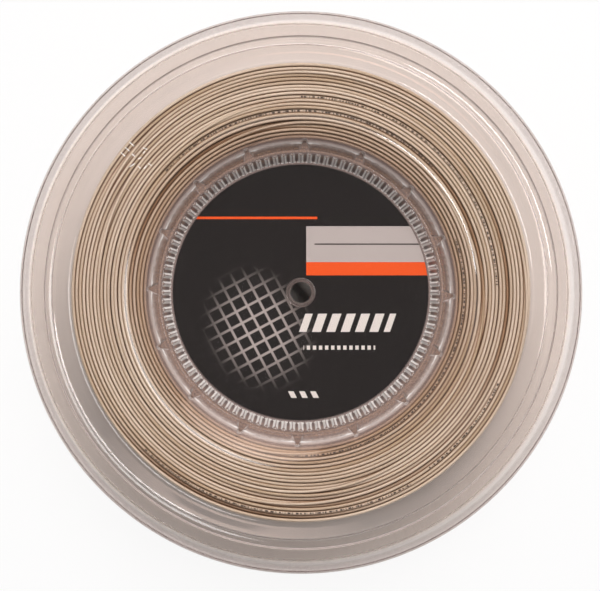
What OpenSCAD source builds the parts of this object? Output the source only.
// String reel: two clear formed halves back to back, a printed card behind each
// cup floor, and 200 m of racket string wound in the groove between them.
// Millimetres, +Z up. The reel lies flat, its axis is Z, and the rear rim
// stands on z = 0.

/* [Reel] */
// Outer diameter over the rims
reel_d = 200; // [190:1:210]
// Overall height, rear rim lip to front rim lip
reel_h = 38; // [37:0.5:42]
// Thickness of the formed clear sheet
sheet_t = 0.6; // [0.5:0.05:0.7]

/* [Flange] */
// Width of the flat lip at the very edge of the rim
lip_w = 0.9; // [0.7:0.1:1.2]
// Height of the lip above the flat land of the flange
lip_rise = 0.8; // [0.6:0.1:1]
// Radius where the land meets the step, at the fine crease
crease_r = 91.3; // [90:0.1:92]
// Height of the fine crease
crease_rise = 0.35; // [0.2:0.05:0.5]
// Radius where the flange leaves the string and starts to step out
step_r = 82.6; // [82.5:0.1:84]
// Height of the step from web to crease
step_rise = 3.85; // [3.5:0.05:4.2]
// Radius where the soft bend from hub to web ends
web_bend_r = 64.5; // [63.5:0.1:68]
// Height that the sheet gains in this bend
web_rise = 1; // [0.6:0.05:1.2]

/* [Hub] */
// Radius of the cup floor
floor_r = 47.4; // [47:0.1:48]
// Radius at the top of the fluted wall
flute_top_r = 49.8; // [49.5:0.1:50.2]
// Height of the fluted wall
flute_h = 5; // [4.5:0.1:5.5]
// Outer radius of the narrow ledge above the flutes
ledge_r = 51.4; // [51.2:0.1:51.6]
// Radius at the top of the upper wall
wall_top_r = 53.6; // [53.4:0.1:53.8]
// Height of the upper wall
wall_h = 3.2; // [2.8:0.1:3.6]
// Radius where the hub's sloping shoulder meets the bend
shoulder_r = 61; // [60:0.1:62]
// Number of flutes round the hub
flute_count = 100; // [80:1:110]
// Width of each flute's rib
rib_w = 1; // [0.8:0.1:1.2]
// How far each rib stands into the cup
rib_depth = 0.6; // [0.4:0.1:0.8]
// Number of pointed lobes in the upper wall
lobe_count = 16; // [12:1:18]
// Angle that the first lobe is turned
lobe_turn = -1.3; // [-3:0.1:3]
// Radius of a lobe's point
lobe_r = 54.8; // [54.2:0.1:55]
// Half of the width of a lobe's foot
lobe_half_w = 2.3; // [1.8:0.1:2.6]

/* [Bore and collars] */
// Diameter of the bore that a spindle goes through
bore_d = 7.5; // [7:0.1:7.6]
// Height of the rear half's collar above the middle plane
collar_h = 4; // [3:0.5:5]
// Play between the two halves' collars
collar_gap = 0.08; // [0.05:0.01:0.15]
// How much further the front half's collar reaches
collar_over = 0.4; // [0.2:0.1:0.8]

/* [Labels] */
// Thickness of each printed card
card_t = 0.25; // [0.2:0.01:0.27]
// Radius of each printed card
card_r = 46.3; // [45.5:0.1:46.5]
// Radius of the hole in each printed card
card_hole_r = 5.4; // [5.3:0.1:6]

/* [String] */
// Diameter of the string
string_d = 1.25; // [1.1:0.01:1.35]
// Radius of the last layer, measured over the string
winding_r = 82.2; // [81.5:0.1:82.4]
// Radial spacing of the layers
layer_pitch = 1.27; // [1.25:0.005:1.32]
// Spacing of the turns across the reel
turn_pitch = 1.25; // [1.25:0.005:1.3]
// Turns in the last layer, whose last place holds the free end
last_turns = 20; // [12:1:20]
// Clear space between the string and the formed sheet
string_gap = 0.15; // [0.1:0.05:0.2]
// Angle that the free end runs on past the last full turn
end_sweep = 70; // [40:5:90]
// Angle where the free end stops, under its tape
end_angle = -62; // [-90:1:0]

/* [Tapes] */
// Thickness of the tape on either end of the string
tape_t = 0.1; // [0.08:0.01:0.15]
// Width of the outer tape across the turns
end_tape_w = 16; // [12:1:20]
// Length of the outer tape round the winding
end_tape_l = 26; // [20:1:34]
// Width of the inner tape on the hub
start_tape_w = 3.6; // [3:0.1:4]
// Angle that the inner tape runs round the hub
start_tape_sweep = 24; // [16:1:36]

/* [Hidden] */
$fn = 128;

clear_sheet = [0.86, 0.82, 0.80, 0.4];
print_black = [0.18, 0.14, 0.135];
string_tan = [0.80, 0.70, 0.57];
tape_white = [0.93, 0.92, 0.88];

mid_z = reel_h / 2;
rim_r = reel_d / 2;
lip_z = mid_z;
land_z = lip_z - lip_rise;
crease_z = land_z - crease_rise;
web_z = crease_z - step_rise;
hub_web_z = web_z - web_rise;
// The two cards fill the space between the cup floors.
card_gap = 0.3;
floor_z = card_gap + sheet_t;
ledge_z = floor_z + flute_h;
wall_top_z = ledge_z + wall_h;
bore_r = bore_d / 2;
collar_out_r = bore_r + sheet_t;
socket_r = collar_out_r + collar_gap;
socket_top_z = collar_h + collar_over;
collar_foot = 1;

// Where the wound string may reach, half by half.
wound_z = web_z - sheet_t - string_gap;
drum_r = lobe_r + sheet_t + 0.4;
under_ledge_z = ledge_z - sheet_t - string_gap;
inner_gap = sheet_t + 0.3;
full_r = winding_r - layer_pitch;
last_z = wound_z - last_turns * turn_pitch;
end_r = full_r + string_d / 2;
end_z = last_z - turn_pitch / 2;
rad = 180 / PI;
// How deep the grooves between neighbouring turns look from outside.
ridge_dip = string_d * 0.45;

// A smooth step: level at both ends, steepest in the middle.
function smooth_step(from, to, n) =
    [for (i = [0:n]) let (t = i / n)
        [from.x + (to.x - from.x) * t,
         from.y + (to.y - from.y) * t * t * (3 - 2 * t)]];

// The face of one half that is seen, from the cup floor to the rim's edge.
// Radii run outwards, heights run away from the reel's middle plane.
seen_face = concat(
    [[collar_foot + socket_r + sheet_t, floor_z], [floor_r, floor_z]],
    [[flute_top_r, ledge_z], [ledge_r, ledge_z]],
    [[wall_top_r, wall_top_z], [shoulder_r, hub_web_z], [web_bend_r, web_z]],
    smooth_step([step_r, web_z], [crease_r - 0.3, crease_z], 10),
    [[crease_r, land_z], [rim_r - lip_w - 0.5, land_z],
     [rim_r - lip_w, lip_z], [rim_r, lip_z]]);

// The normal of a face's stretch, pointing back into the sheet.
function back_normal(a, b) = [b.y - a.y, a.x - b.x] / norm(b - a);

// The same face moved back by t, square to its stretches.
function moved_back(p, t) =
    [for (i = [0:len(p) - 1])
        let (n1 = back_normal(p[max(i - 1, 0)], p[max(i, 1)]),
             n2 = back_normal(p[min(i, len(p) - 2)], p[min(i + 1, len(p) - 1)]),
             m = n1 + n2)
        p[i] + m * 2 * t / (m * m)];

function reversed(p) = [for (i = [len(p) - 1:-1:0]) p[i]];

// Even steps round a star: four points for each tooth, out and back.
function star(count, inner, outer, half_w, point_w, turn) =
    [for (i = [0:count - 1], k = [[inner, -half_w], [outer, -point_w],
                                  [outer, point_w], [inner, half_w]])
        let (a = turn + 360 * i / count)
        [k[0] * cos(a) - k[1] * sin(a), k[0] * sin(a) + k[1] * cos(a)]];

// The sheet of one half, without flutes and lobes.
module sheet() {
    rotate_extrude()
        polygon(concat(seen_face, reversed(moved_back(seen_face, sheet_t))));
}

// A ring of ribs that stand into the cup from a sloping wall.
module ribs(foot, head, depth) {
    lean = [depth, 0];
    root = [sheet_t / 2, 0];
    intersection() {
        rotate_extrude()
            polygon([foot - lean, foot + root, head + root, head - lean]);
        linear_extrude(height = head.y + 1)
            polygon(star(flute_count, 10, rim_r, rib_w * 0.1, rib_w / 2, 0));
    }
}

// The pockets of the pointed lobes, grown by t for their outer skin.
module lobes(t, bottom, top) {
    translate([0, 0, bottom])
        linear_extrude(height = top - bottom)
            polygon(star(lobe_count, flute_top_r + 1 - t, lobe_r + t,
                         lobe_half_w + t, 0.4 + t, lobe_turn));
}

// Everything on the far side of the seen face, to trim the lobes' skins.
module behind_seen_face() {
    last = seen_face[len(seen_face) - 1];
    rotate_extrude()
        polygon(concat(seen_face, [[last.x, -1], [seen_face[0].x, -1]]));
}

// One half's dish: cup, flutes, lobes, web, step, land and rim lip.
module dish() {
    difference() {
        union() {
            sheet();
            intersection() {
                behind_seen_face();
                lobes(sheet_t, ledge_z - sheet_t, hub_web_z);
            }
            ribs([floor_r, floor_z - 0.1], [flute_top_r, ledge_z], rib_depth);
        }
        lobes(0, ledge_z, reel_h);
    }
}

// The floor round the bore, as far as the dish's floor.
module floor_ring(inner) {
    outer = seen_face[0].x + 0.01;
    translate([0, 0, card_gap])
        difference() {
            cylinder(h = sheet_t, r = outer);
            translate([0, 0, -1]) cylinder(h = sheet_t + 2, r = inner);
        }
}

// A short tube between two heights.
module tube(inner, outer, z1, z2) {
    translate([0, 0, z1])
        difference() {
            cylinder(h = z2 - z1, r = outer);
            translate([0, 0, -1]) cylinder(h = z2 - z1 + 2, r = inner);
        }
}

// Front half: its collar is the socket that grips the rear half's collar.
module front_shell() {
    color(clear_sheet)
        translate([0, 0, mid_z]) {
            dish();
            floor_ring(socket_r);
            tube(socket_r, socket_r + sheet_t, card_gap, socket_top_z);
        }
}

// Rear half: the same dish turned over, with the plain collar and the bore.
module rear_shell() {
    color(clear_sheet)
        translate([0, 0, mid_z]) {
            mirror([0, 0, 1]) {
                dish();
                floor_ring(bore_r);
            }
            tube(bore_r, collar_out_r, -floor_z, collar_h);
        }
}

// A printed card with its centre hole, its back on the middle plane.
module card() {
    clear = 0.02;
    tube(card_hole_r, card_r, clear, clear + card_t);
}

module front_label() {
    color(print_black) translate([0, 0, mid_z]) card();
}

module rear_label() {
    color(print_black) translate([0, 0, mid_z]) mirror([0, 0, 1]) card();
}

// How high the wound string may stand under the web at a radius.
function side_z(r) =
    wound_z - (web_rise + 0.1)
        * min(1, max(0, (web_bend_r - r) / (web_bend_r - shoulder_r)));

// One side's outline of the wound string along the web and down to the hub.
// Each layer shows as a shallow ridge, from the outermost one inwards.
function side_ridges(from_r) =
    [for (i = [0:floor((from_r - shoulder_r) / layer_pitch) - 1],
          k = [[0, ridge_dip], [0.5, 0]])
        let (r = from_r - (i + k[0]) * layer_pitch)
        [r, side_z(r) - k[1]]];

// How high it may stand under the shoulder at a radius.
function under_shoulder_z(r) =
    let (slope = (hub_web_z - wall_top_z) / (shoulder_r - wall_top_r))
    wall_top_z + (r - wall_top_r) * slope - inner_gap * norm([1, slope]);

// The inner layers follow the shoulder down to the lobes, then the ledge.
function side_outline(from_r) = concat(
    side_ridges(from_r),
    [[shoulder_r, under_shoulder_z(shoulder_r)], [drum_r, under_shoulder_z(drum_r)],
     [drum_r, under_ledge_z],
     [flute_top_r + inner_gap, under_ledge_z], [floor_r + inner_gap, 0]]);

// The whole winding. Its last layer stops one turn short of the rear web.
module string_winding() {
    last_layer = [for (i = [0:last_turns - 1], k = [0, 0.5])
        if (i + k > 0)
            [winding_r - (k == 0 ? ridge_dip : 0), wound_z - (i + k) * turn_pitch]];
    rear = [for (p = side_outline(full_r)) [p.x, -p.y]];
    color(string_tan)
        translate([0, 0, mid_z])
            rotate_extrude()
                polygon(concat(
                    reversed(side_outline(winding_r)), last_layer,
                    [[winding_r - ridge_dip, last_z], [full_r, last_z]],
                    rear));
}

// The free end of the string, lying beside the last full turn.
module string_end() {
    color(string_tan)
        translate([0, 0, mid_z + end_z])
            rotate([0, 0, end_angle])
                rotate_extrude(angle = end_sweep)
                    translate([end_r, 0]) circle(d = string_d);
}

// The tab of tape that holds the free end down on the winding.
module end_tape() {
    sweep = end_tape_l / winding_r * rad;
    color(tape_white)
        translate([0, 0, mid_z - wound_z])
            rotate([0, 0, end_angle - sweep * 0.4])
                rotate_extrude(angle = sweep)
                    translate([winding_r + 0.02, 0])
                        square([tape_t, end_tape_w]);
}

// The tape that holds the string's first turn on the rear half's hub.
module start_tape() {
    foot = [floor_r + sheet_t + 0.1, -floor_z];
    slope = (flute_top_r - floor_r) / flute_h;
    head = foot + [start_tape_w * slope, -start_tape_w];
    color(tape_white)
        translate([0, 0, mid_z])
            rotate_extrude(angle = start_tape_sweep)
                polygon([foot, foot + [tape_t, 0], head + [tape_t, 0], head]);
}

front_shell();
rear_shell();
front_label();
rear_label();
string_winding();
string_end();
end_tape();
start_tape();
